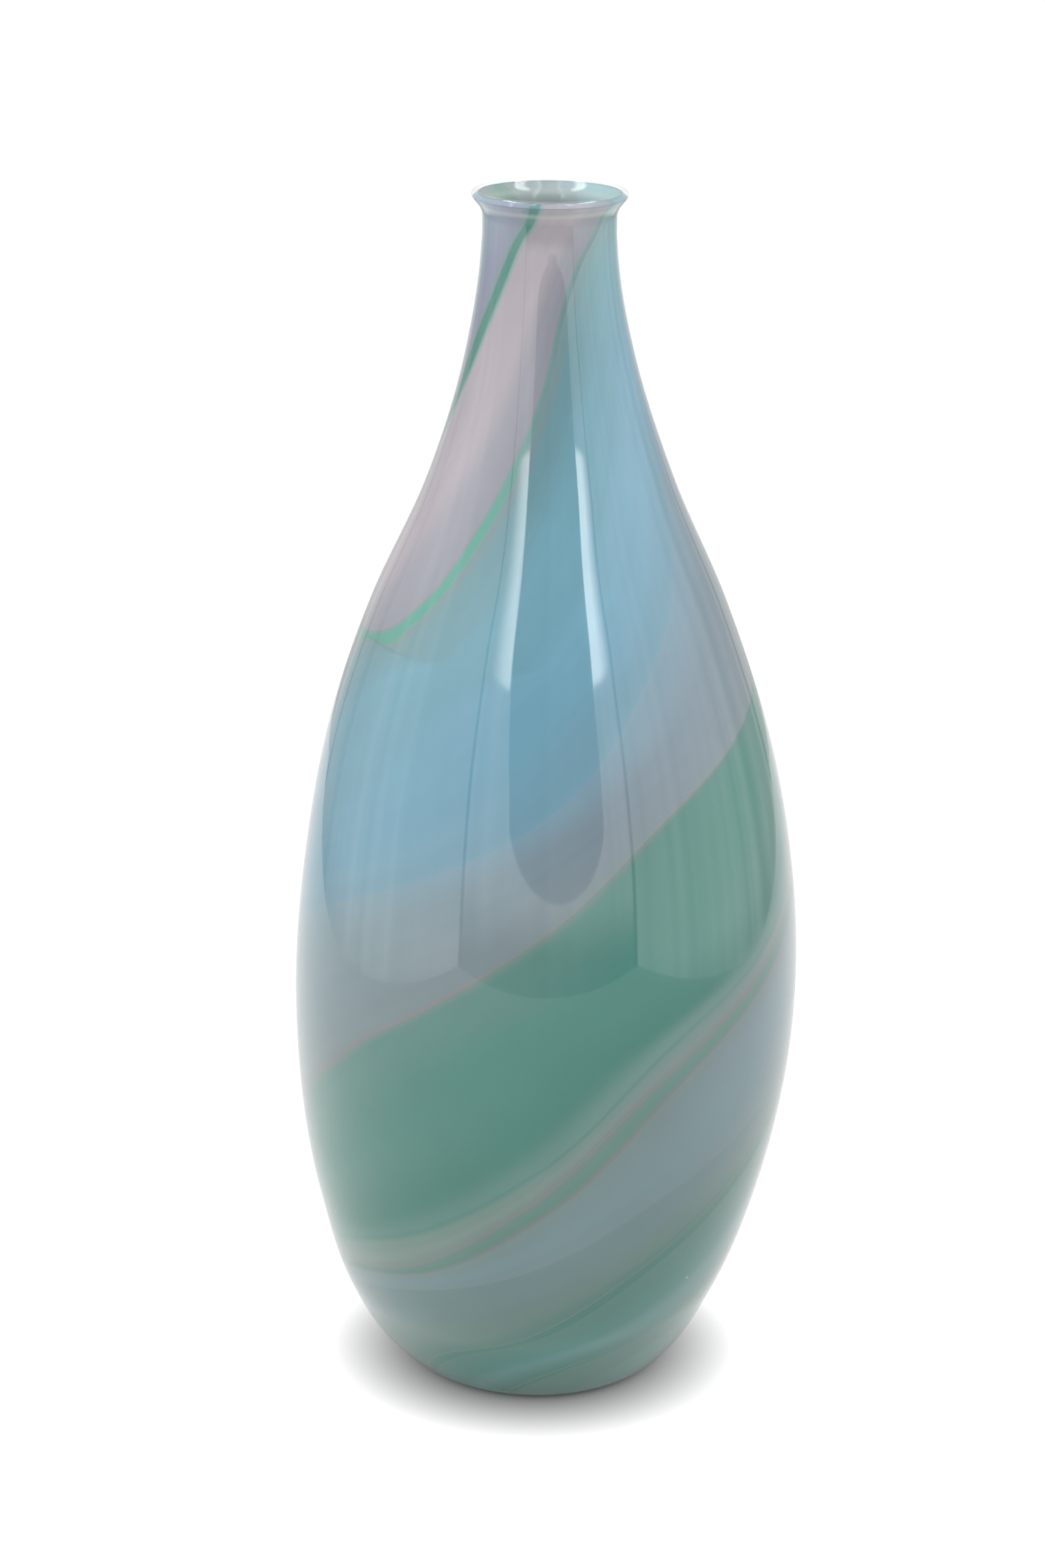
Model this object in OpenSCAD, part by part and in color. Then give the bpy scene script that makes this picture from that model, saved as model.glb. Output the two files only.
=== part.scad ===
// Hand blown art glass vase: a clear core, ten ribbons of coloured glass swirled
// round it, and a clear casing gathered over them. Millimetres, +Z up, standing at
// the origin. An angle of 0 faces the front (-Y), and angles grow towards +X.

/* [Foot and belly, as radius and height] */
// Outer edge of the flat ring it stands on
foot_edge = [38, 0]; // [0:0.1:40]
// Turn from the foot into the heel
heel_turn = [42.2, 2]; // [1:0.1:44]
// Heel
heel = [50.4, 10]; // [8:0.1:52]
// Side just above the heel
low_side = [62, 30]; // [28:0.1:64]
// Side below the belly
mid_side = [72, 60]; // [58:0.1:73]
// Swell under the belly
low_belly = [79.6, 100]; // [79:0.1:102]
// Widest place
belly = [81.5, 132]; // [81:0.1:134]

/* [Shoulder and neck, as radius and height] */
// Fall above the belly
high_belly = [77.9, 180]; // [77:0.1:181]
// Start of the shoulder
shoulder = [69.9, 220]; // [69:0.1:221]
// Shoulder
high_shoulder = [56.4, 260]; // [55:0.1:261]
// Throat, where the shoulder turns into the neck
throat = [38.7, 300]; // [38:0.1:301]
// Foot of the neck
neck_foot = [26.2, 340]; // [26:0.1:341]
// Neck
neck = [21.1, 371]; // [20:0.1:372]
// Narrowest place
neck_top = [20.7, 379.5]; // [20:0.1:380]
// Knuckle, where the lip turns out
knuckle = [21, 383.8]; // [20:0.1:384.4]

/* [Lip] */
// Height of the lip's top
height = 390; // [389:0.1:392]
// Width across the lip
lip_d = 48.2; // [47:0.1:50]
// Thickness of the rounded lip
lip_t = 2.8; // [2.4:0.1:3.2]
// Slope of the flare under the lip
flare_angle = 55; // [45:1:65]

/* [Glass thickness] */
// Whole wall at the neck
neck_wall = 3.4; // [3:0.1:4]
// Whole wall at the belly
belly_wall = 4.4; // [4:0.1:6]
// Whole wall just above the heel
heel_wall = 7; // [6:0.1:8]
// Clear casing at the foot
foot_casing = 2.4; // [2:0.1:2.6]
// Clear casing at the lip
lip_casing = 1; // [0.8:0.1:1.2]
// Coloured ribbons
colour_t = 1; // [0.8:0.1:1.2]

/* [Inside of the bottom] */
// Height of the flat floor
floor_z = 11; // [10:0.1:11.2]
// Edge of that floor, as radius and height
floor_edge = [20, 11.3]; // [11.2:0.1:21]
// Turn of the bowl, as radius and height
bowl_turn = [36, 14]; // [13:0.1:37]
// Where the bowl meets the wall, as radius and height
bowl_side = [48, 22]; // [20:0.1:49]

/* [Underside] */
// Inner edge of the flat ring it stands on, as a radius
ring_inner_r = 26; // [22:1:30]
// Rise of the hollow inside the ring
punt_z = 1.6; // [1:0.1:2]
// Radius of the dimple ground where the pontil rod came off
dimple_r = 12; // [9:1:14]
// Depth of that dimple
dimple_z = 1.6; // [1:0.1:2]
// Radius at which the ribbons begin under the floor
colour_start_r = 18; // [16:1:20]
// Clear casing over the ring's inner edge
ring_casing = 2.8; // [2.4:0.1:3]

/* [Ribbons] */
// Half width of the bright green cane, as an angle
bright_cane_half = 2.5; // [1.5:0.1:4]
// Half width of the dark green cane, as an angle
dark_cane_half = 3; // [1.5:0.1:4]
// Half width of the fine green cane, as an angle
fine_cane_half = 2; // [1.5:0.1:3]

/* [Hidden] */
$fn = 120;

// Where the swirled lines run, as [height, angle]. Below 0 the height stands for the
// distance inwards under the floor.
dark_cane_line = [[390, -8], [376, -30], [349, -60], [325, -82], [230, -170], [83, -302],
    [58, -330], [33, -360], [21, -387], [-25, -430]];
bright_cane_line = [[390, 52], [371, 26], [340, 0], [292, -30], [262, -56], [240, -88],
    [205, -130], [100, -225], [38, -300], [12, -360], [-25, -400]];
blue_mauve_line = [[390, 160], [316, 75], [250, 30], [212, 0], [190, -30], [165, -75],
    [100, -140], [30, -220], [-25, -280]];
mauve_green_line = [[390, 200], [300, 130], [238, 85], [220, 45], [177, 0], [147, -30],
    [108, -70], [60, -130], [10, -215], [-25, -250]];
green_streak_line = [[390, 256], [290, 182], [185, 90], [160, 60], [140, 30], [100, 0],
    [72, -30], [53, -68], [30, -120], [-25, -215]];
fine_cane_line = [[390, 265], [290, 190], [175, 97], [153, 62], [127, 30], [85, 0],
    [57, -30], [44, -62], [20, -125], [-25, -205]];
pale_violet_line = [[390, 290], [290, 217], [150, 100], [105, 60], [85, 30], [62, 0],
    [38, -60], [25, -100], [-25, -190]];

full_turn = 360;
curve_step = 7;  // longest chord along an outline
ribbon_step = 9; // widest chord round a ribbon, in degrees
arc_steps = 8;   // chords on the lip and on the underside

lip_r = lip_t / 2;
lip_centre = [lip_d / 2 - lip_r, height - lip_r];

function direction(angle) = [cos(angle), sin(angle)];
function unit(v) = v / norm(v);
function outward(tangent) = [tangent[1], -tangent[0]];
function blend(a, b, share) = a + (b - a) * share;
function reverse(list) = [for (i = [len(list) - 1:-1:0]) list[i]];

// Direction of a smooth curve at its point i, given the directions at its two ends
function tangent_at(points, i, first, last) =
    i == 0 ? first :
    i == len(points) - 1 ? last :
    let (before = points[i] - points[i - 1], after = points[i + 1] - points[i])
    unit(before / norm(before) * norm(after) + after / norm(after) * norm(before));

function hermite(a, b, ta, tb, s) =
    let (reach = norm(b - a))
    a * (2 * s ^ 3 - 3 * s ^ 2 + 1) + ta * reach * (s ^ 3 - 2 * s ^ 2 + s)
    + b * (3 * s ^ 2 - 2 * s ^ 3) + tb * reach * (s ^ 3 - s ^ 2);

// A smooth curve through points
function curve(points, first, last) = [
    for (i = [0:len(points) - 2])
        let (ta = tangent_at(points, i, first, last),
            tb = tangent_at(points, i + 1, first, last),
            steps = max(2, ceil(norm(points[i + 1] - points[i]) / curve_step)))
        for (k = [0:steps - 1])
            hermite(points[i], points[i + 1], ta, tb, k / steps),
    points[len(points) - 1]
];

// Outer surface, from the foot's edge up to the lip
flare = direction(flare_angle);
outer_points = [foot_edge, heel_turn, heel, low_side, mid_side, low_belly, belly, high_belly,
    shoulder, high_shoulder, throat, neck_foot, neck, neck_top, knuckle,
    lip_centre + lip_r * outward(flare)];
outer = curve(outer_points, [1, 0], flare);

// Inner surface, from the middle of the floor up to the lip. From the low side up it keeps
// the wall's thickness from the outer one.
wall_table = [[low_side[1], heel_wall], [belly[1], belly_wall], [neck[1], neck_wall], [height, lip_t]];
low_side_index = 3;
wall_points = [
    for (i = [low_side_index:len(outer_points) - 1])
        outer_points[i] - lookup(outer_points[i][1], wall_table)
            * outward(tangent_at(outer_points, i, [1, 0], flare))
];
inner = curve(concat([[0, floor_z], floor_edge, bowl_turn, bowl_side], wall_points), [1, 0], flare);

// A layer's surface, a little inside the outer one. It runs in under the floor.
function casing_at(z) = blend(foot_casing, lip_casing, z / height);
function along(i) = unit(outer[min(i + 1, len(outer) - 1)] - outer[max(i - 1, 0)]);
function layer(depth) = concat(
    [[colour_start_r, punt_z + foot_casing + depth], [ring_inner_r, ring_casing + depth]],
    [for (i = [0:len(outer) - 1]) outer[i] - (casing_at(outer[i][1]) + depth) * outward(along(i))]
);
colour_outside = layer(0);
colour_inside = layer(colour_t);
core_middle = [0, punt_z + dimple_z + foot_casing];

// Underside: the polished dimple, and the hollow round it down to the flat ring
dimple = [
    for (k = [0:arc_steps])
        let (share = k / arc_steps)
        [dimple_r * share, punt_z + dimple_z * (1 - share ^ 2)]
];
hollow = [
    for (k = [1:arc_steps])
        let (share = k / arc_steps)
        [blend(dimple_r, ring_inner_r, share), punt_z * (1 + cos(180 * share)) / 2]
];
lip_arc = [
    for (k = [1:arc_steps])
        lip_centre + lip_r * direction(flare_angle - 90 + 180 * k / arc_steps)
];

// Angles of all the swirled lines at a point [radius, height] of the colour
function run(p) = p[1] - max(0, foot_edge[0] - p[0]);
function lines_at(p) = let (h = run(p)) [
    lookup(h, dark_cane_line) - dark_cane_half,
    lookup(h, dark_cane_line) + dark_cane_half,
    lookup(h, bright_cane_line) - bright_cane_half,
    lookup(h, bright_cane_line) + bright_cane_half,
    lookup(h, blue_mauve_line),
    lookup(h, mauve_green_line),
    lookup(h, green_streak_line),
    lookup(h, fine_cane_line) - fine_cane_half,
    lookup(h, fine_cane_line) + fine_cane_half,
    lookup(h, pale_violet_line),
    lookup(h, dark_cane_line) - dark_cane_half + full_turn
];

// The colour between swirled lines k and k + 1. Its corners lie on the layer's outside, and
// a little off its inside, so that its chords clear the round core.
module ribbon(k) {
    lines = [for (p = colour_outside) lines_at(p)];
    across = ceil(max([for (angles = lines) angles[k + 1] - angles[k]]) / ribbon_step);
    side = across + 1;
    row = 2 * side;
    clear = 1 / cos(ribbon_step / 2);
    rows = len(lines);
    points = [
        for (i = [0:rows - 1])
            for (p = [colour_outside[i], [colour_inside[i][0] * clear, colour_inside[i][1]]])
                for (c = [0:across])
                    let (angle = blend(lines[i][k], lines[i][k + 1], c / across))
                    [p[0] * sin(angle), -p[0] * cos(angle), p[1]]
    ];
    skins = [
        for (i = [0:rows - 2])
            for (c = [0:across - 1])
                let (a = i * row + c, b = a + row)
                each [[a, b, a + 1], [b, b + 1, a + 1],
                    [a + side, a + side + 1, b + side], [b + side, a + side + 1, b + side + 1]]
    ];
    edges = [
        for (i = [0:rows - 2])
            let (a = i * row, b = a + row, c = a + across, d = b + across)
            each [[a, a + side, b], [b, a + side, b + side],
                [c, d, c + side], [d, d + side, c + side]]
    ];
    top = (rows - 1) * row;
    ends = [
        for (c = [0:across - 1])
            each [[c, c + 1, c + side], [c + 1, c + side + 1, c + side],
                [top + c, top + c + side, top + c + 1], [top + c + 1, top + c + side, top + c + side + 1]]
    ];
    polyhedron(points, concat(skins, edges, ends));
}

module clear_casing() {
    color([0.9, 0.95, 0.93, 0.3])
        rotate_extrude() polygon(concat(dimple, hollow, outer, lip_arc,
            reverse(colour_outside), [colour_inside[0], core_middle]));
}

module inner_core() {
    color([0.88, 0.92, 0.92, 0.6])
        rotate_extrude() polygon(concat([core_middle], colour_inside, reverse(inner)));
}

module dark_green_cane() color("#1f7a66") ribbon(0);
module pink_ribbon() color("#b4a9bd") ribbon(1);
module bright_green_cane() color("#3fa38c") ribbon(2);
module blue_ribbon() color("#74a6c2") ribbon(3);
module mauve_ribbon() color("#9a9fb5") ribbon(4);
module wide_green_ribbon() color("#5f9c8b") ribbon(5);
module mauve_grey_streak() color("#9aa5a3") ribbon(6);
module fine_green_cane() color("#6d9a8d") ribbon(7);
module pale_blue_ribbon() color("#8fa4b3") ribbon(8);
module violet_ribbon() color("#8587a6") ribbon(9);

clear_casing();
inner_core();
dark_green_cane();
pink_ribbon();
bright_green_cane();
blue_ribbon();
mauve_ribbon();
wide_green_ribbon();
mauve_grey_streak();
fine_green_cane();
pale_blue_ribbon();
violet_ribbon();
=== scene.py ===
"""Hand blown art glass vase: the looks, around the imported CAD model.

Lengths are written in millimetres, or in metres where a comment says so, and angles in
degrees. An angle of 0 faces the front (-Y), and angles grow towards +X.
"""
import math

import bpy
import numpy as np
from mathutils import Matrix, Vector


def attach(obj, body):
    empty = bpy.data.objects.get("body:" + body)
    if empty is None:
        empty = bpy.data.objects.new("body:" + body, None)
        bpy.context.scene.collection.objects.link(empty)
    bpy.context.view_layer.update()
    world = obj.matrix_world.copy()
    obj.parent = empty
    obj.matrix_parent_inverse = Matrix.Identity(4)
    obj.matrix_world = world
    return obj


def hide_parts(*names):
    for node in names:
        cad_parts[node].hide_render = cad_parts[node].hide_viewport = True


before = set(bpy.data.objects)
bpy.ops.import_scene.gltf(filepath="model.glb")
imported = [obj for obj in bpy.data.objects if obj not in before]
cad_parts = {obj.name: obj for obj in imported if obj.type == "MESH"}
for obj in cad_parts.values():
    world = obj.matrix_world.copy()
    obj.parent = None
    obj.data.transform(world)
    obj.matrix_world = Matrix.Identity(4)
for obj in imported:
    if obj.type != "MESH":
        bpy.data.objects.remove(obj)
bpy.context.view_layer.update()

MM = 0.001
FULL_TURN = 360

# ---------------------------------------------------------------- outline of the glass

# The same outline points as the CAD model has, as radius and height
FOOT_EDGE = (38, 0)
OUTER_POINTS = [
    FOOT_EDGE, (42.2, 2), (50.4, 10), (62, 30), (72, 60), (79.6, 100), (81.5, 132), (77.9, 180),
    (69.9, 220), (56.4, 260), (38.7, 300), (26.2, 340), (21.1, 371), (20.7, 379.5), (21, 383.8),
]
LIP_D = 48.2
LIP_R = 1.4
FLARE = math.radians(55)
HEIGHT = 390
WALL = [(30, 7), (132, 4.4), (371, 3.4), (390, 2.8)]       # height, whole wall
FLOOR_Z = 11
BOWL_POINTS = [(0, FLOOR_Z), (20, 11.3), (36, 14), (48, 22)]
FIRST_WALL_POINT = 3
PUNT_Z = 1.6
DIMPLE_R = 12
DIMPLE_Z = 1.6
RING_INNER_R = 26
COLOUR_START_R = 18
CORE_RISE = 1.2          # how much higher the core's underside is in the middle

# A clear casing magnifies what it covers out to its own edge, so the colour is drawn
# just under the surface
SKIN = 0.3
COLOUR_DEPTH = 2.2
CORE_GAP = 0.1           # between the colour and the core under it

# How finely the meshes are divided
OUTLINE_STEP = 1.2       # millimetres along the outline
COLUMN_STEP = 1.6        # degrees across a ribbon
FEWEST_COLUMNS = 4
ROUND_STEPS = 240
ARC_STEPS = 24
SHARP_TURN = 40

# How far the hand blown body leans off its axis, as height and distance towards +X
LEAN = [(0, -0.8), (15, -2.0), (60, -1.0), (120, 1.0), (160, 1.6), (250, 0.9), (300, 1.1), (370, 0),
        (390, 0)]


def unit(v):
    """Unit vectors along the last axis."""
    return v / np.linalg.norm(v, axis=-1, keepdims=True)


def right_of(v):
    """What lies to the right of a direction in the outline's plane: outwards, going up."""
    return np.stack([v[..., 1], -v[..., 0]], -1)


def smooth_line(points, first=None, last=None, step=OUTLINE_STEP):
    """A smooth curve through points. first and last are its directions at its ends."""
    points = np.array(points, float)
    gaps = np.diff(points, axis=0)
    reach = np.linalg.norm(gaps, axis=1)[:, None]
    ways = gaps / reach
    middle = unit(ways[:-1] * reach[1:] + ways[1:] * reach[:-1])
    start = ways[:1] if first is None else np.array([first], float)
    end = ways[-1:] if last is None else np.array([last], float)
    ways = np.concatenate([start, middle, end])
    out = []
    for i in range(len(gaps)):
        count = max(2, math.ceil(reach[i, 0] / step))
        s = (np.arange(count) / count)[:, None]
        out.append(
            points[i] * (2 * s**3 - 3 * s**2 + 1)
            + ways[i] * reach[i] * (s**3 - 2 * s**2 + s)
            + points[i + 1] * (3 * s**2 - 2 * s**3)
            + ways[i + 1] * reach[i] * (s**3 - s**2)
        )
    return np.concatenate([*out, points[-1:]])


def table(rows, at):
    """Value of a table at a height, by a smooth curve through its rows."""
    curve = smooth_line(sorted(rows))
    return np.interp(at, curve[:, 0], curve[:, 1])


def inward(line, depth):
    """A line moved into the glass by a depth."""
    return line - right_of(unit(np.gradient(line, axis=0))) * np.reshape(depth, (-1, 1))


flare = np.array([math.cos(FLARE), math.sin(FLARE)])
lip_centre = np.array([LIP_D / 2 - LIP_R, HEIGHT - LIP_R])
outer_points = np.array([*OUTER_POINTS, lip_centre + LIP_R * right_of(flare)])
outer = smooth_line(outer_points, (1, 0), flare)

wall_ways = unit(np.gradient(outer, axis=0))
nearest = [int(np.argmin(np.linalg.norm(outer - p, axis=1))) for p in outer_points]
wall_points = [
    outer[i] - table(WALL, outer[i][1]) * right_of(wall_ways[i]) for i in nearest[FIRST_WALL_POINT:]
]
inner = smooth_line([*BOWL_POINTS, *wall_points], (1, 0), flare)


def arc(centre, radius, start, stop, steps):
    """Points on an arc, in degrees, without its first point."""
    turn = np.radians(np.linspace(start, stop, steps + 1))[1:]
    return np.array(centre) + radius * np.stack([np.cos(turn), np.sin(turn)], -1)


def hollow_z(r):
    """Height of the shallow hollow between the dimple and the flat ring."""
    return PUNT_Z * (1 + np.cos(math.pi * (r - DIMPLE_R) / (RING_INNER_R - DIMPLE_R))) / 2


def underside():
    """The polished dimple, the hollow round it and the flat ring, from the middle out."""
    share = np.linspace(0, 1, ARC_STEPS + 1)
    dimple = np.stack([DIMPLE_R * share, PUNT_Z + DIMPLE_Z * (1 - share**2)], -1)
    r = DIMPLE_R + (RING_INNER_R - DIMPLE_R) * share[1:]
    ring = [(r, 0) for r in np.arange(RING_INNER_R, FOOT_EDGE[0], OUTLINE_STEP)[1:]]
    return np.concatenate([dimple, np.stack([r, hollow_z(r)], -1), ring])


base = underside()
covered = np.concatenate([base[base[:, 0] >= COLOUR_START_R], outer])


def colour_line(depth):
    """Outline of the colour at a depth under the surface that covers it."""
    return inward(covered, depth)


def lean(z):
    """How far the body leans at a height, in millimetres."""
    return table(LEAN, z)


# ---------------------------------------------------------------- the swirled lines

# Where each line between two colours runs, as height and angle. Below 0 the height
# stands for the distance inwards under the floor.
DARK_CANE = [(390, -10), (385, -15), (376, -30), (363, -45), (349, -60), (336, -72), (325, -82),
             (230, -170), (140, -248), (83, -302), (58, -330), (33, -360), (21, -387), (-25, -430)]
BRIGHT_CANE = [(390, 54), (382, 45), (371, 25), (353, 7), (340, 0), (316, -15), (292, -30), (269, -45),
               (256, -60), (251, -85), (205, -130), (100, -225), (38, -300), (12, -360), (-25, -400)]
BLUE_MAUVE = [(390, 160), (316, 75), (290, 60), (250, 30), (212, 0), (190, -30), (172, -60), (162, -75),
              (100, -140), (30, -220), (-25, -280)]
MAUVE_GREEN = [(390, 226), (380, 204), (350, 170), (300, 130), (238, 85), (227, 60), (209, 30),
               (177, 0), (147, -30), (133, -45), (116, -60), (106, -70), (60, -130), (10, -215),
               (-25, -250)]
GREEN_STREAK = [(390, 240), (380, 228), (340, 212), (290, 182), (190, 90), (162, 60), (140, 30),
                (100, 0), (72, -30), (53, -68), (30, -120), (-25, -215)]
FINE_CANE = [(390, 265), (290, 190), (185, 97), (153, 60), (127, 30), (85, 0), (57, -30), (44, -62),
             (20, -125), (-25, -205)]
PALE_VIOLET = [(390, 290), (290, 217), (150, 100), (105, 60), (85, 30), (62, 0), (38, -60), (25, -100),
               (-25, -190)]

# Half widths of the canes, as height and angle, and of a line between two ribbons
DARK_CANE_HALF = [(390, 5.2), (376, 5.0), (364, 5.7), (345, 6.6), (320, 6.6), (230, 5.0), (90, 3.0),
                  (-25, 3.0)]
BRIGHT_CANE_HALF = [(390, 5.0), (372, 3.5), (345, 2.6), (300, 3.2), (265, 3.6), (259, 4.6), (256, 7.5),
                    (253, 11.0), (250, 11.0), (247, 8.0), (243, 5.0), (238, 3.6), (230, 3.0), (215, 2.8),
                    (190, 2.6), (150, 2.6), (90, 2.6), (30, 2.4), (-25, 2.4)]
FINE_CANE_HALF = [(390, 2.4), (300, 2.4), (200, 3.2), (120, 3.8), (30, 3.4), (-25, 3.0)]
NO_WIDTH = [(390, 0), (-25, 0)]

# The ribbons in their order round the vase, and the line each one starts at, with the half
# width and the side of the line it takes. The last line is the first one again, a turn on.
RIBBONS = ["dark_green_cane", "pink_ribbon", "bright_green_cane", "blue_ribbon", "mauve_ribbon",
           "wide_green_ribbon", "mauve_grey_streak", "fine_green_cane", "pale_blue_ribbon", "violet_ribbon"]
LINES = [
    (DARK_CANE, DARK_CANE_HALF, -1),
    (DARK_CANE, DARK_CANE_HALF, 1),
    (BRIGHT_CANE, BRIGHT_CANE_HALF, -1),
    (BRIGHT_CANE, BRIGHT_CANE_HALF, 1),
    (BLUE_MAUVE, NO_WIDTH, 0),
    (MAUVE_GREEN, NO_WIDTH, 0),
    (GREEN_STREAK, NO_WIDTH, 0),
    (FINE_CANE, FINE_CANE_HALF, -1),
    (FINE_CANE, FINE_CANE_HALF, 1),
    (PALE_VIOLET, NO_WIDTH, 0),
]


def run(line):
    """Height along the glass, carried on inwards under the floor."""
    return line[:, 1] - np.maximum(0, FOOT_EDGE[0] - line[:, 0]) * (line[:, 1] < FLOOR_Z)


def line_angle(k, height):
    """Angle of swirled line k at some heights."""
    turns, line = divmod(k, len(LINES))
    rows, half, side = LINES[line]
    return table(rows, height) + side * table(half, height) + turns * FULL_TURN


# ---------------------------------------------------------------- meshes


def place(line, angle):
    """Points in metres: line is (n, 2), and angle is (n, m) in degrees."""
    turn = np.radians(angle)
    r, z = line[:, :1], line[:, 1:]
    x = r * np.sin(turn) + lean(z[:, 0])[:, None]
    return np.stack([x, -r * np.cos(turn), np.broadcast_to(z, turn.shape)], -1) * MM


def facing(line, angle, side):
    """Directions square to the glass at the same points, outwards for a side of 1."""
    turn = np.radians(angle)
    out = right_of(unit(np.gradient(line, axis=0))) * side
    flat, up = out[:, :1], out[:, 1:]
    return np.stack([flat * np.sin(turn), -flat * np.cos(turn), np.broadcast_to(up, turn.shape)], -1)


def finish_piece(name, points, faces, node, material):
    """Makes a piece that rides on the body and stands for its CAD node."""
    mesh = bpy.data.meshes.new(name)
    mesh.from_pydata(points.reshape(-1, 3).tolist(), [], faces)
    mesh.polygons.foreach_set("use_smooth", np.ones(len(faces), bool))
    mesh.materials.append(material)
    piece = bpy.data.objects.new(name, mesh)
    bpy.context.scene.collection.objects.link(piece)
    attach(piece, "root")
    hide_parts(node)
    return piece


def turned(name, outline, node, material):
    """A solid of revolution from a closed outline that starts and ends on the axis."""
    body = outline[1:-1]
    angle = np.broadcast_to(np.arange(ROUND_STEPS) * FULL_TURN / ROUND_STEPS, (len(body), ROUND_STEPS))
    ends = place(outline[[0, -1]], np.zeros((2, 1)))[:, 0]
    ends[:, 0] = lean(outline[[0, -1], 1]) * MM
    points = np.concatenate([place(body, angle).reshape(-1, 3), ends])
    near = np.arange(ROUND_STEPS)
    far = (near + 1) % ROUND_STEPS
    faces = []
    for row in range(len(body) - 1):
        a, b = row * ROUND_STEPS, (row + 1) * ROUND_STEPS
        faces += np.stack([a + near, a + far, b + far, b + near], -1).tolist()
    last = (len(body) - 1) * ROUND_STEPS
    first_pole, last_pole = len(points) - 2, len(points) - 1
    faces += [(first_pole, int(f), int(n)) for n, f in zip(near, far)]
    faces += [(last_pole, int(last + n), int(last + f)) for n, f in zip(near, far)]
    piece = finish_piece(name, points, faces, node, material)
    piece.data.set_sharp_from_angle(angle=math.radians(SHARP_TURN))
    return piece


def ribbon(k, material):
    """One ribbon of colour, between swirled lines k and k + 1."""
    outside, inside = colour_line(SKIN), colour_line(COLOUR_DEPTH)
    height = run(outside)
    left, right = line_angle(k, height), line_angle(k + 1, height)
    columns = max(FEWEST_COLUMNS, math.ceil((right - left).max() / COLUMN_STEP))
    share = np.linspace(0, 1, columns + 1)
    angle = left[:, None] + (right - left)[:, None] * share
    skins = [place(outside, angle), place(inside, angle)[:, ::-1]]
    square = [facing(outside, angle, 1), facing(inside, angle, -1)[:, ::-1]]
    points = np.concatenate(skins, axis=1)
    normals = np.concatenate(square, axis=1)
    rows, ring = points.shape[:2]
    ids = np.arange(rows * ring).reshape(rows, ring)
    after = np.roll(ids, -1, axis=1)
    quads = np.stack([ids[:-1], after[:-1], after[1:], ids[1:]], -1)
    bottom = [(int(ids[0, c]), int(ids[0, ring - 1 - c]), int(ids[0, ring - 2 - c]), int(ids[0, c + 1]))
              for c in range(columns)]
    top = [(int(ids[-1, c + 1]), int(ids[-1, ring - 2 - c]), int(ids[-1, ring - 1 - c]), int(ids[-1, c]))
           for c in range(columns)]
    wall = np.zeros(ring, bool)
    wall[[columns, ring - 1]] = True
    faces = quads.reshape(-1, 4).tolist() + bottom + top
    name = RIBBONS[k]
    piece = finish_piece(name + "_glass", points, faces, name, material)
    mesh = piece.data
    smooth = np.concatenate([~np.tile(wall, rows - 1), np.zeros(len(bottom) + len(top), bool)])
    mesh.polygons.foreach_set("use_smooth", smooth)
    corner_ids = np.array([i for f in faces for i in f])
    corner_normals = normals.reshape(-1, 3)[corner_ids]
    corner_normals[~np.repeat(smooth, 4)] = 0
    mesh.normals_split_custom_set(corner_normals.tolist())
    both = np.concatenate([share, share[::-1]])
    start, stop = PHASES[k], PHASES[k + 1]
    keep = {
        "across": np.broadcast_to(both, (rows, ring)),
        "run": np.broadcast_to(height[:, None] * MM, (rows, ring)),
        "phase": np.broadcast_to((start + (stop - start) * both) / FULL_TURN, (rows, ring)),
    }
    for label, values in keep.items():
        mesh.attributes.new(label, "FLOAT", "POINT").data.foreach_set("value", values.ravel())
    return piece


PHASES = [float(line_angle(k, HEIGHT)) for k in range(len(LINES) + 1)]

# ---------------------------------------------------------------- materials

GLASS_IOR = 1.45
CASING_IOR = 1.5
RIPPLE_SCALE = 24.0      # all noise scales are in cycles per metre
RIPPLE_STRENGTH = 0.05
RIPPLE_HEIGHT = 0.002    # metres
CLOUD_SCALE = 38.0
MILK_SCALE = 30.0
CLOUD_DETAIL = 3.0
NOISE_LOW, NOISE_HIGH = 0.3, 0.7

# Drawn-out streaks inside each ribbon: cycles a turn round and cycles per metre up
STREAKS = (50, 6, 1)
STREAK_DETAIL = 4.0
STREAK_SHIFT = 0.025     # how far they move the colours across the ribbon
SHADES = (0.97, 1.03)
RIBBON_ROUGHNESS = (0.04, 0.08)
RIBBON_SPECULAR = 0.35
CASING_ROUGHNESS = 0.02
CASING_TINT = (0.985, 0.995, 0.99, 1)
CORE_ROUGHNESS = 0.06
CORE_TINT = (0.97, 0.99, 0.98, 1)
MILK_SHARES = (0.14, 0.2)

SEED_CELLS = 60.0        # cells per metre that may hold a seed
SEED_SIZE = 0.016        # radius in cells
SEED_SHARE = 0.2


def srgb(r, g, b):
    """A linear colour from the usual 0 to 255 display values."""
    c = np.array([r, g, b]) / 255
    return (*np.where(c <= 0.04045, c / 12.92, ((c + 0.055) / 1.055) ** 2.4).tolist(), 1)


def add(tree, kind, inputs=None, **settings):
    """A new node. inputs holds plain values, or sockets to link."""
    made = tree.nodes.new(kind)
    for key, value in settings.items():
        setattr(made, key, value)
    for key, value in (inputs or {}).items():
        if isinstance(value, bpy.types.NodeSocket):
            tree.links.new(value, made.inputs[key])
        else:
            made.inputs[key].default_value = value
    return made


def new_tree(name):
    """An empty material and its node tree."""
    material = bpy.data.materials.new(name)
    material.use_nodes = True
    material.node_tree.nodes.clear()
    return material, material.node_tree


def maths(tree, operation, a, b=0.0, clamp=False):
    """One Math node."""
    return add(tree, "ShaderNodeMath", {0: a, 1: b}, operation=operation, use_clamp=clamp).outputs[0]


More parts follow.
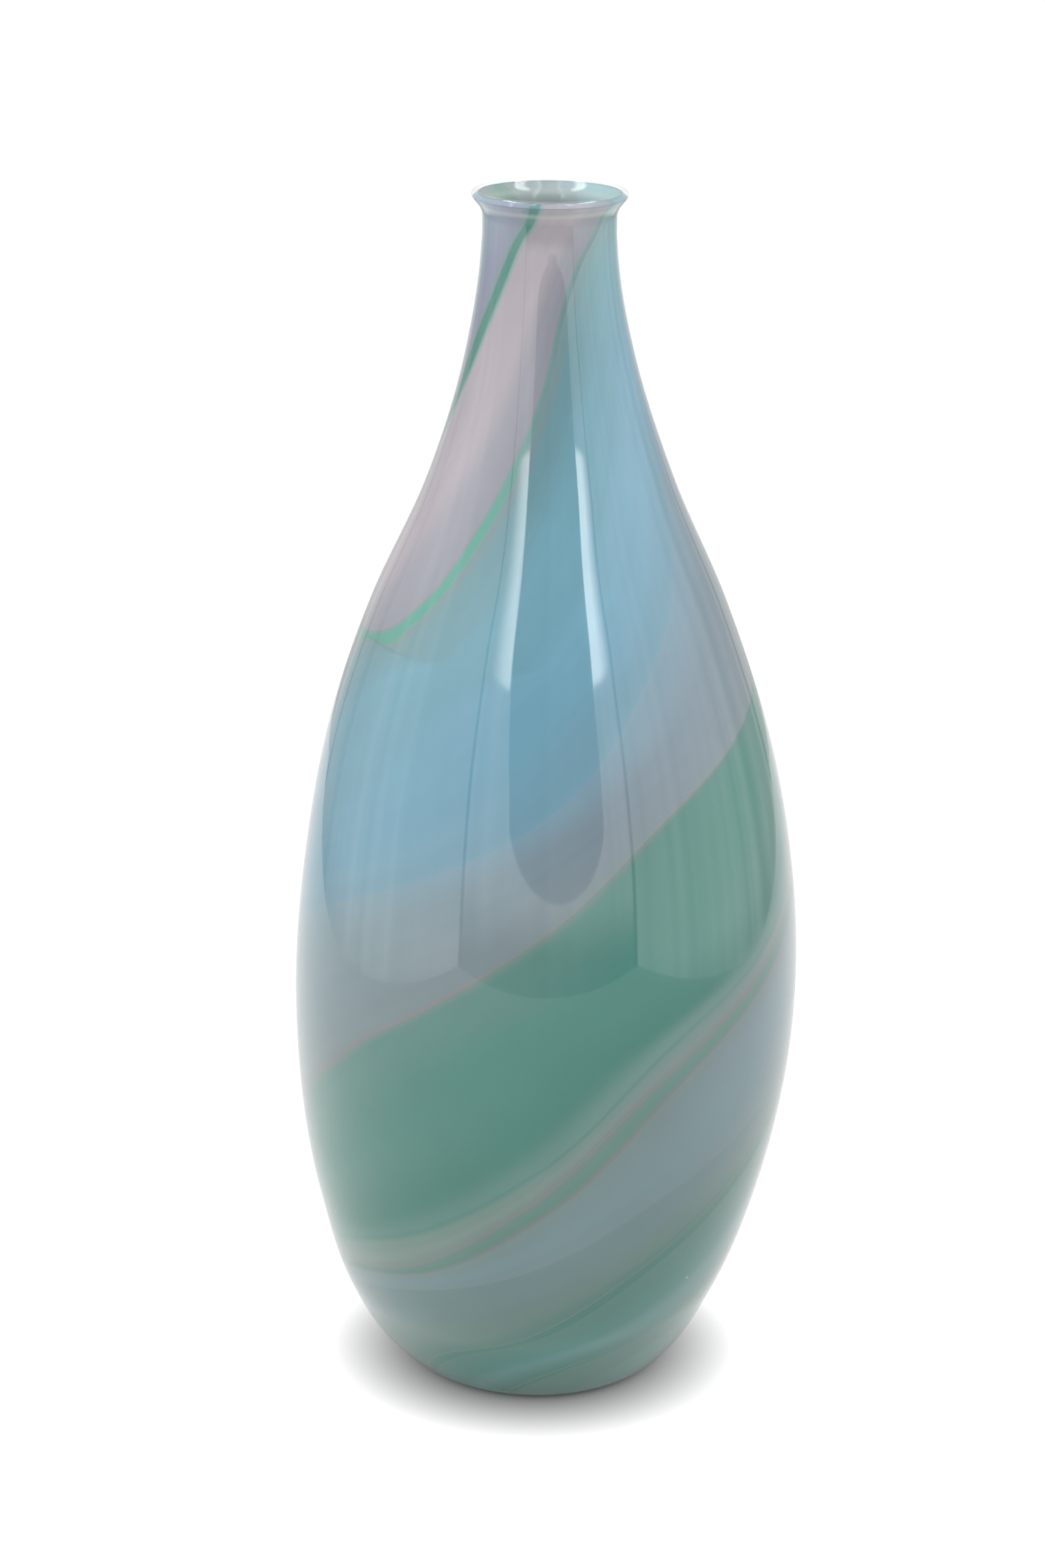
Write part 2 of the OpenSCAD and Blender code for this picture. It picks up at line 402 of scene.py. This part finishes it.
def ramp(tree, factor, stops):
    """A colour ramp through (position, colour) stops."""
    made = add(tree, "ShaderNodeValToRGB", {"Fac": factor})
    marks = made.color_ramp.elements
    while len(marks) < len(stops):
        marks.new(0.5)
    for mark, (position, colour) in zip(marks, stops):
        mark.position = position
        mark.color = colour
    made.color_ramp.interpolation = "EASE"
    return made.outputs["Color"]


def step_range(tree, value, low, high):
    """0 below low and 1 above high, smoothly between."""
    return add(
        tree, "ShaderNodeMapRange", {"Value": value, "From Min": low, "From Max": high},
        interpolation_type="SMOOTHSTEP",
    ).outputs["Result"]


def mixed(tree, factor, a, b):
    """A Mix node on colours."""
    return add(tree, "ShaderNodeMix", {"Factor": factor, 6: a, 7: b}, data_type="RGBA").outputs[2]


def noise(tree, scale, detail=1.0):
    """Soft noise through the glass, in cycles per metre."""
    where = add(tree, "ShaderNodeTexCoord").outputs["Object"]
    made = add(tree, "ShaderNodeTexNoise", {"Vector": where, "Scale": scale, "Detail": detail})
    return made.outputs["Fac"]


def spread(tree, value, low, high):
    """Noise spread out between two values."""
    made = add(
        tree, "ShaderNodeMapRange",
        {"Value": value, "From Min": NOISE_LOW, "From Max": NOISE_HIGH, "To Min": low, "To Max": high},
    )
    return made.outputs["Result"]


def ripples(tree):
    """The faint waviness of hand blown glass."""
    made = add(
        tree, "ShaderNodeBump",
        {"Height": noise(tree, RIPPLE_SCALE), "Strength": RIPPLE_STRENGTH, "Distance": RIPPLE_HEIGHT},
    )
    return made.outputs["Normal"]


def band(tree, value, low, high, soft):
    """1 between low and high, with soft edges."""
    past_low = step_range(tree, value, low - soft, low + soft)
    past_high = step_range(tree, value, high - soft, high + soft)
    return maths(tree, "SUBTRACT", past_low, past_high, clamp=True)


def seeds(tree):
    """1 in the few tiny bubbles, or seeds, of the glass."""
    where = add(tree, "ShaderNodeTexCoord").outputs["Object"]
    cells = add(tree, "ShaderNodeTexVoronoi", {"Vector": where, "Scale": SEED_CELLS})
    small = maths(tree, "LESS_THAN", cells.outputs["Distance"], SEED_SIZE)
    cell_number = add(tree, "ShaderNodeSeparateXYZ", {0: cells.outputs["Color"]}).outputs[0]
    chosen = maths(tree, "GREATER_THAN", cell_number, 1 - SEED_SHARE)
    return maths(tree, "MULTIPLY", small, chosen)


# The glass of the seeds; the neck's pale top, partly painted light through the thin glass; a painted
# highlight in a ring under the lip; and painted shade along the lip's edge
SEED_COLOUR = srgb(205, 216, 214)
PALE_LIT_GLASS = srgb(206, 216, 220)
RING_HIGHLIGHT = srgb(214, 214, 194)
RIM_SHADE_GLASS = srgb(96, 116, 140)

# How high up they start and stop, in metres, and how much of them shows
THIN_GLOW_RISE = (0.365, 0.386)
THIN_GLOW_SHARE = 0.14
RING_HIGHLIGHT_RISE = (0.3845, 0.3858, 0.0006)
RING_HIGHLIGHT_SHARE = 0.28
RIM_SHADE_RISE = (0.3874, 0.3879)
RIM_SHADE_SHARE = 0.3


def swirl_glass(name, levels):
    """Milky glass in drawn-out streaks. levels are its colours at some heights, each as stops
    across the ribbon."""
    material, tree = new_tree(name)
    across = add(tree, "ShaderNodeAttribute", attribute_name="across").outputs["Fac"]
    rise = add(tree, "ShaderNodeAttribute", attribute_name="run").outputs["Fac"]
    phase = add(tree, "ShaderNodeAttribute", attribute_name="phase").outputs["Fac"]
    flow = add(tree, "ShaderNodeCombineXYZ", {"X": phase, "Y": rise}).outputs[0]
    drawn = add(tree, "ShaderNodeVectorMath", {0: flow, 1: STREAKS}, operation="MULTIPLY").outputs[0]
    streaks = add(
        tree, "ShaderNodeTexNoise", {"Vector": drawn, "Scale": 1.0, "Detail": STREAK_DETAIL}
    ).outputs["Fac"]
    shifted = maths(tree, "ADD", across, spread(tree, streaks, -STREAK_SHIFT, STREAK_SHIFT))
    below, colour = None, None
    for height, stops in levels:
        here = ramp(tree, shifted, [(position, srgb(*rgb)) for position, rgb in stops])
        colour = here if colour is None else mixed(
            tree, step_range(tree, rise, below * MM, height * MM), colour, here
        )
        below = height

    # Paler glass at the top of the neck, partly painted light shining through the thin glass; a painted
    # highlight in a ring under the lip, where the flare starts; and painted shade along the lip's edge
    # Partly painted light: the top of the neck made paler where the glass is thin, partly its own paler
    # colour and partly painted light shining through it
    thin_glow = maths(tree, "MULTIPLY", step_range(tree, rise, *THIN_GLOW_RISE), THIN_GLOW_SHARE)
    colour = mixed(tree, thin_glow, colour, PALE_LIT_GLASS)
    # Painted highlight: a pale ring under the lip, the refraction highlight where the flare starts
    ring = maths(tree, "MULTIPLY", band(tree, rise, *RING_HIGHLIGHT_RISE), RING_HIGHLIGHT_SHARE)
    colour = mixed(tree, ring, colour, RING_HIGHLIGHT)
    # Painted shade: the lip's edge darkened, as refraction darkens it
    rim_shade = maths(tree, "MULTIPLY", step_range(tree, rise, *RIM_SHADE_RISE), RIM_SHADE_SHARE)
    colour = mixed(tree, rim_shade, colour, RIM_SHADE_GLASS)
    colour = mixed(tree, seeds(tree), colour, SEED_COLOUR)

    cloud = noise(tree, CLOUD_SCALE, CLOUD_DETAIL)
    shade = maths(tree, "MULTIPLY", spread(tree, streaks, *SHADES), spread(tree, cloud, *SHADES))
    tinted = add(tree, "ShaderNodeVectorMath", {0: colour, "Scale": shade}, operation="SCALE").outputs[0]
    surface = add(
        tree, "ShaderNodeBsdfPrincipled",
        {"Base Color": tinted, "Roughness": spread(tree, cloud, *RIBBON_ROUGHNESS),
         "Normal": ripples(tree), "IOR": GLASS_IOR, "Specular IOR Level": RIBBON_SPECULAR},
    )
    add(tree, "ShaderNodeOutputMaterial", {"Surface": surface.outputs[0]})
    return material


def clear_glass():
    """Clear glass over the colour: see-through, with a gloss on its outer face only."""
    material, tree = new_tree("clear_casing_glass")
    bump = ripples(tree)
    back = add(tree, "ShaderNodeNewGeometry").outputs["Backfacing"]
    mirrored = add(tree, "ShaderNodeFresnel", {"IOR": CASING_IOR, "Normal": bump}).outputs[0]
    share = maths(tree, "MULTIPLY", mirrored, maths(tree, "SUBTRACT", 1.0, back))
    through = add(tree, "ShaderNodeBsdfTransparent", {"Color": CASING_TINT})
    shine = add(tree, "ShaderNodeBsdfAnisotropic", {"Roughness": CASING_ROUGHNESS, "Normal": bump})
    surface = add(tree, "ShaderNodeMixShader", {0: share, 1: through.outputs[0], 2: shine.outputs[0]})
    add(tree, "ShaderNodeOutputMaterial", {"Surface": surface.outputs[0]})
    return material


def milky_core():
    """The faintly milky inner glass that the colour lies on."""
    material, tree = new_tree("inner_core_glass")
    cloud = noise(tree, MILK_SCALE, CLOUD_DETAIL)
    milk = ramp(tree, cloud, [(NOISE_LOW, srgb(215, 225, 222)), (NOISE_HIGH, srgb(235, 240, 238))])
    body = add(
        tree, "ShaderNodeBsdfPrincipled",
        {"Base Color": milk, "Roughness": CORE_ROUGHNESS, "IOR": GLASS_IOR, "Normal": ripples(tree)},
    )
    through = add(tree, "ShaderNodeBsdfTransparent", {"Color": CORE_TINT})
    surface = add(
        tree, "ShaderNodeMixShader",
        {0: spread(tree, cloud, *MILK_SHARES), 1: through.outputs[0], 2: body.outputs[0]},
    )
    add(tree, "ShaderNodeOutputMaterial", {"Surface": surface.outputs[0]})
    return material


# Colours of each ribbon at some heights, each as stops across it from its left edge, 0, to its
# right one, 1
COLOURS = {
    "dark_green_cane": [
        (60, [(0, (98, 120, 117)), (0.2, (62, 112, 104)), (0.8, (54, 112, 100)), (1, (74, 118, 110))]),
        (220, [(0, (116, 142, 146)), (0.25, (50, 126, 114)), (0.75, (40, 128, 113)), (1, (122, 150, 150))]),
    ],
    "pink_ribbon": [
        (60, [(0, (70, 116, 108)), (0.35, (60, 118, 111)), (0.6, (78, 126, 124)), (1, (64, 112, 103))]),
        (220, [(0, (150, 158, 164)), (0.06, (172, 162, 170)), (0.55, (178, 166, 176)),
               (0.85, (153, 151, 163)), (1, (146, 147, 158))]),
    ],
    "bright_green_cane": [
        (60, [(0, (80, 121, 114)), (0.5, (60, 110, 98)), (1, (80, 116, 109))]),
        (220, [(0, (130, 146, 150)), (0.3, (84, 162, 146)), (0.7, (78, 160, 142)), (1, (120, 146, 144))]),
        (290, [(0, (132, 146, 152)), (0.3, (86, 160, 146)), (0.7, (82, 158, 142)), (1, (120, 146, 144))]),
        (335, [(0, (146, 147, 158)), (0.4, (120, 148, 150)), (0.7, (110, 146, 148)), (1, (116, 144, 150))]),
    ],
    "blue_ribbon": [
        (60, [(0, (80, 114, 106)), (0.5, (92, 134, 128)), (1, (112, 139, 147))]),
        (220, [(0, (121, 143, 149)), (0.08, (110, 148, 156)), (0.35, (105, 156, 174)),
               (0.75, (106, 158, 182)), (1, (114, 156, 176))]),
        (330, [(0, (117, 143, 149)), (0.1, (104, 146, 158)), (0.35, (112, 162, 180)),
               (0.75, (124, 172, 196)), (1, (120, 160, 180))]),
        (385, [(0, (130, 160, 164)), (0.12, (126, 172, 180)), (0.4, (130, 180, 194)),
               (0.75, (136, 184, 202)), (1, (134, 170, 188))]),
    ],
    "mauve_ribbon": [
        (60, [(0, (112, 142, 150)), (0.9, (130, 152, 156)), (1, (130, 130, 130))]),
        (150, [(0, (122, 152, 164)), (0.45, (130, 150, 158)), (0.97, (130, 144, 150)),
               (1, (146, 136, 138))]),
        (220, [(0, (126, 156, 174)), (0.4, (125, 143, 157)), (0.85, (126, 140, 152)),
               (0.97, (124, 142, 149)), (1, (130, 140, 146))]),
    ],
    "wide_green_ribbon": [
        (60, [(0, (124, 142, 136)), (0.08, (108, 142, 135)), (0.5, (92, 138, 129)), (0.85, (70, 127, 115)),
              (1, (88, 134, 125))]),
        (150, [(0, (118, 144, 138)), (0.06, (96, 140, 134)), (0.5, (72, 136, 126)), (0.85, (62, 128, 118)),
               (1, (110, 146, 138))]),
        (220, [(0, (110, 134, 130)), (0.03, (68, 134, 125)), (0.4, (54, 134, 120)), (0.8, (74, 137, 126)),
               (1, (112, 148, 143))]),
    ],
    "mauve_grey_streak": [
        (60, [(0, (80, 132, 121)), (0.35, (112, 140, 132)), (0.7, (120, 141, 134)), (1, (116, 134, 130))]),
        (220, [(0, (112, 147, 144)), (0.5, (132, 151, 153)), (1, (136, 143, 147))]),
    ],
    "fine_green_cane": [
        (60, [(0, (126, 130, 128)), (0.3, (98, 132, 125)), (0.7, (90, 130, 121)), (1, (118, 125, 122))]),
        (220, [(0, (142, 142, 144)), (0.3, (112, 150, 143)), (0.7, (110, 151, 142)), (1, (144, 138, 140))]),
    ],
    "pale_blue_ribbon": [
        (60, [(0, (114, 134, 134)), (0.5, (113, 139, 144)), (1, (113, 134, 138))]),
        (220, [(0, (133, 148, 154)), (0.2, (140, 158, 173)), (0.7, (132, 155, 168)), (1, (132, 147, 155))]),
        (330, [(0, (133, 160, 168)), (0.5, (120, 168, 184)), (1, (128, 158, 172))]),
    ],
    "violet_ribbon": [
        (60, [(0, (106, 130, 132)), (0.4, (102, 127, 129)), (0.8, (94, 122, 116)), (1, (74, 114, 104))]),
        (220, [(0, (130, 150, 164)), (0.3, (140, 147, 168)), (0.8, (142, 142, 163)), (1, (125, 144, 152))]),
        (380, [(0, (128, 160, 168)), (0.3, (132, 146, 168)), (0.8, (134, 136, 162)), (1, (122, 140, 152))]),
    ],
}

# ---------------------------------------------------------------- the vase

lip_arc = arc(lip_centre, LIP_R, math.degrees(FLARE) - 90, math.degrees(FLARE) + 90, ARC_STEPS)
joint_line = colour_line(SKIN / 2)
colour_back = colour_line(COLOUR_DEPTH + CORE_GAP)
casing_outline = np.concatenate([
    base, outer, lip_arc, joint_line[::-1], [(0, colour_back[0][1] + CORE_RISE)],
])
core_outline = np.concatenate([[(0, colour_back[0][1] + CORE_RISE)], colour_back, inner[::-1]])
turned("clear_casing_glass", casing_outline, "clear_casing", clear_glass())
turned("inner_core_glass", core_outline, "inner_core", milky_core())
for k, name in enumerate(RIBBONS):
    ribbon(k, swirl_glass(name + "_glass", COLOURS[name]))

# ---------------------------------------------------------------- floor, light and camera

# Corners of the white tent's floor, as x and y
FLOOR_LEFT, FLOOR_RIGHT = -640, 640
FLOOR_FRONT, FLOOR_BACK = -790, 890
FLOOR_GREY = 0.12
FLOOR_LIGHT = 0.96
FLOOR_ROUGHNESS = 0.9
FLOOR_SPECULAR = 0.1
SHADOW_REACH = 0.02      # metres


def floor():
    """The plain white table top in the tent. It glows so brightly that only the shadow close to the vase
    shows, and that shadow is painted: an ambient occlusion node dims the glow near the vase."""
    material, tree = new_tree("pale_floor")
    # Painted contact shadow: the floor's glow is dimmed by ambient occlusion near the vase
    open_sky = add(tree, "ShaderNodeAmbientOcclusion", {"Distance": SHADOW_REACH}).outputs["AO"]
    glow_with_painted_shadow = maths(tree, "MULTIPLY", open_sky, FLOOR_LIGHT)
    white = add(
        tree, "ShaderNodeBsdfPrincipled",
        {"Base Color": (FLOOR_GREY, FLOOR_GREY, FLOOR_GREY, 1), "Roughness": FLOOR_ROUGHNESS,
         "Specular IOR Level": FLOOR_SPECULAR, "Emission Color": (1, 1, 1, 1), "Emission Strength": glow_with_painted_shadow},
    )
    add(tree, "ShaderNodeOutputMaterial", {"Surface": white.outputs[0]})
    corners = [(FLOOR_LEFT, FLOOR_FRONT), (FLOOR_RIGHT, FLOOR_FRONT), (FLOOR_RIGHT, FLOOR_BACK),
               (FLOOR_LEFT, FLOOR_BACK)]
    mesh = bpy.data.meshes.new("floor")
    mesh.from_pydata([(x * MM, y * MM, 0) for x, y in corners], [], [(0, 1, 2, 3)])
    mesh.materials.append(material)
    made = bpy.data.objects.new("floor", mesh)
    bpy.context.scene.collection.objects.link(made)


def darker(tree, light, where, share):
    """Light with a share of it taken off where another value is 1."""
    kept = maths(tree, "SUBTRACT", 1.0, maths(tree, "MULTIPLY", where, share))
    return maths(tree, "MULTIPLY", light, kept)


def brighter(tree, light, where, much):
    """Light with more put on it where another value is 1."""
    return maths(tree, "ADD", light, maths(tree, "MULTIPLY", where, much))


# The tent, by directions out from the vase: azimuths from the front (-Y) and rises
WALL_LIGHT = 2.0
ROOM_LIGHT = 0.8
BACKDROP_LIGHT = 1.1
FOLDS = 0.12             # cycles a degree
FOLD_DETAIL = 3.0
FOLD_SHADES = (0.86, 1.14)
FRONT_CORNER = 40
CORNER_SOFT = 0.6
FRONT_FOOT = (-9, -1)
FRONT_FOOT_DARK = 0.7
SIDE_FOOT = (-17, -9)
SIDE_FOOT_DARK = 0.3
BEHIND = (85, 135)
BEHIND_DARK = 0.6
SEAMS = (-144, -40, 40, 146)
SEAM_HALF = 0.7
SEAM_DARK = 0.7

# The slit, which widens to the left as it rises, and the bright cloth beside it
SLIT_LEFT = -17.6        # at a rise of 0
SLIT_WIDENS = 0.2
SLIT_RIGHT = 27
SLIT_SOFT = 0.015        # share of its half width
SLIT_END = 9.0           # how deep its rounded lower end is
SLIT_FOOT = (6.3, 7.0)
SLIT_DARK = 0.63
LEFT_EDGE = (-38, -24)
LEFT_EDGE_STOP = (-23.2, -22.6)
LEFT_EDGE_LIGHT = 4.6
RIGHT_EDGE_START = (26.8, 27.6)
RIGHT_EDGE = (31, 40)
RIGHT_EDGE_LIGHT = 6.0
EDGES_RISE = (22, 23)

LAMPS = (-92, 90)
LAMP_HALF = 34
LAMP_SOFT = 2.0
LAMP_RISE = (53, 60)
LAMP_RISE_SOFT = 1.0
LAMP_LIGHT = 16


def falling(tree, value, low, high):
    """1 below low and 0 above high, smoothly between."""
    return maths(tree, "SUBTRACT", 1.0, step_range(tree, value, low, high))


def slit(tree, azimuth, rise):
    """The tall slit that the camera looks in through, with a rounded lower end."""
    left = maths(tree, "SUBTRACT", SLIT_LEFT, maths(tree, "MULTIPLY", rise, SLIT_WIDENS))
    middle = maths(tree, "MULTIPLY", maths(tree, "ADD", left, SLIT_RIGHT), 0.5)
    half = maths(tree, "SUBTRACT", SLIT_RIGHT, middle)
    across = maths(tree, "DIVIDE", maths(tree, "SUBTRACT", azimuth, middle), half)
    square = maths(tree, "MULTIPLY", across, across)
    round_end = maths(tree, "SQRT", maths(tree, "SUBTRACT", 1.0, square, clamp=True))
    above = maths(tree, "ADD", rise, maths(tree, "MULTIPLY", round_end, SLIT_END))
    return maths(
        tree, "MULTIPLY", band(tree, across, -1, 1, SLIT_SOFT), step_range(tree, above, *SLIT_FOOT)
    )


def wall_light(tree, azimuth, rise):
    """Light of the tent's walls, with their folds, dark foot, slit, seams and lamps."""
    folds = add(
        tree, "ShaderNodeTexNoise", {"W": azimuth, "Scale": FOLDS, "Detail": FOLD_DETAIL},
        noise_dimensions="1D",
    ).outputs["Fac"]
    light = maths(tree, "MULTIPLY", spread(tree, folds, *FOLD_SHADES), WALL_LIGHT)
    front = band(tree, azimuth, -FRONT_CORNER, FRONT_CORNER, CORNER_SOFT)
    front_foot = maths(tree, "MULTIPLY", front, falling(tree, rise, *FRONT_FOOT))
    light = darker(tree, light, front_foot, FRONT_FOOT_DARK)
    side_foot = maths(
        tree, "MULTIPLY", maths(tree, "SUBTRACT", 1.0, front), falling(tree, rise, *SIDE_FOOT)
    )
    light = darker(tree, light, side_foot, SIDE_FOOT_DARK)
    behind = step_range(tree, maths(tree, "ABSOLUTE", azimuth), *BEHIND)
    light = darker(tree, light, behind, BEHIND_DARK)
    light = darker(tree, light, slit(tree, azimuth, rise), SLIT_DARK)
    high_up = step_range(tree, rise, *EDGES_RISE)
    left_edge = maths(
        tree, "MULTIPLY", step_range(tree, azimuth, *LEFT_EDGE), falling(tree, azimuth, *LEFT_EDGE_STOP)
    )
    light = brighter(tree, light, maths(tree, "MULTIPLY", left_edge, high_up), LEFT_EDGE_LIGHT)
    right_edge = maths(
        tree, "MULTIPLY", step_range(tree, azimuth, *RIGHT_EDGE_START), falling(tree, azimuth, *RIGHT_EDGE)
    )
    light = brighter(tree, light, maths(tree, "MULTIPLY", right_edge, high_up), RIGHT_EDGE_LIGHT)
    for middle in SEAMS:
        seam = band(tree, azimuth, middle - SEAM_HALF, middle + SEAM_HALF, SEAM_HALF)
        light = darker(tree, light, seam, SEAM_DARK)
    for middle in LAMPS:
        across = band(tree, azimuth, middle - LAMP_HALF, middle + LAMP_HALF, LAMP_SOFT)
        lamp = maths(tree, "MULTIPLY", across, band(tree, rise, *LAMP_RISE, LAMP_RISE_SOFT))
        light = brighter(tree, light, lamp, LAMP_LIGHT)
    return light


def tent():
    """A white tent all round, with soft light for the vase and a structure that only its gloss
    mirrors: a darker slit where the camera looks in, bright edges to it, corner seams and a
    lamp on each side."""
    world = bpy.data.worlds.new("tent")
    world.use_nodes = True
    world.cycles.sampling_method = "NONE"
    bpy.context.scene.world = world
    tree = world.node_tree
    tree.nodes.clear()
    way = add(tree, "ShaderNodeTexCoord").outputs["Generated"]
    xyz = add(tree, "ShaderNodeSeparateXYZ", {0: way})
    forward = maths(tree, "MULTIPLY", xyz.outputs["Y"], -1.0)
    turn = maths(tree, "ARCTAN2", xyz.outputs["X"], forward)
    azimuth = maths(tree, "MULTIPLY", turn, math.degrees(1))
    rise = maths(tree, "MULTIPLY", maths(tree, "ARCSINE", xyz.outputs["Z"]), math.degrees(1))
    light = wall_light(tree, azimuth, rise)

    path = add(tree, "ShaderNodeLightPath")
    unmirrored = add(
        tree, "ShaderNodeMix", {0: path.outputs["Is Camera Ray"], 2: ROOM_LIGHT, 3: BACKDROP_LIGHT},
        data_type="FLOAT",
    ).outputs[0]
    strength = add(
        tree, "ShaderNodeMix", {0: path.outputs["Is Glossy Ray"], 2: unmirrored, 3: light},
        data_type="FLOAT",
    ).outputs[0]
    background = add(tree, "ShaderNodeBackground", {"Color": (1, 1, 1, 1), "Strength": strength})
    add(tree, "ShaderNodeOutputWorld", {"Surface": background.outputs[0]})


# Soft lights as name, watts, and azimuth and rise from their target, a point in the belly
SOFT_LIGHTS = [("top_light", 10, 0, 88), ("left_light", 3, -80, 45)]
LIGHT_SIZE = 0.9         # metres, as the two below
LIGHT_DISTANCE = 1.4
LIGHT_TARGET = Vector((0, 0, 0.15))


def soft_light(name, power, azimuth, rise):
    """A wide square light that looks at the vase's belly and isn't mirrored in it."""
    data = bpy.data.lights.new(name, "AREA")
    data.shape = "SQUARE"
    data.size = LIGHT_SIZE
    data.energy = power
    turn, up = math.radians(azimuth), math.radians(rise)
    outward = Vector((math.sin(turn) * math.cos(up), -math.cos(turn) * math.cos(up), math.sin(up)))
    made = bpy.data.objects.new(name, data)
    made.location = outward * LIGHT_DISTANCE + LIGHT_TARGET
    made.rotation_euler = outward.to_track_quat("Z", "Y").to_euler()
    made.visible_glossy = False
    made.visible_camera = False
    bpy.context.scene.collection.objects.link(made)


CAMERA_AT = (-6.84, -1127.7, 575.3)
CAMERA_DOWN = math.radians(18.46)
CAMERA_ROLL = math.radians(0.5)
LENS = 85
SENSOR = 36              # width
NEAR_CLIP = 0.05         # metres


def camera():
    """The camera, at the photograph's viewing angle."""
    data = bpy.data.cameras.new("camera")
    data.lens = LENS
    data.sensor_width = SENSOR
    data.clip_start = NEAR_CLIP
    made = bpy.data.objects.new("camera", data)
    ahead = np.array([0, math.cos(CAMERA_DOWN), -math.sin(CAMERA_DOWN)])
    level = np.array([1, 0, 0])
    upright = np.cross(level, ahead)
    right = math.cos(CAMERA_ROLL) * level + math.sin(CAMERA_ROLL) * upright
    up = -math.sin(CAMERA_ROLL) * level + math.cos(CAMERA_ROLL) * upright
    matrix = Matrix(np.stack([right, up, -ahead], -1).tolist()).to_4x4()
    matrix.translation = [v * MM for v in CAMERA_AT]
    made.matrix_world = matrix
    bpy.context.scene.collection.objects.link(made)
    bpy.context.scene.camera = made


floor()
tent()
for light in SOFT_LIGHTS:
    soft_light(*light)
camera()
bpy.context.scene.view_settings.view_transform = "Standard"
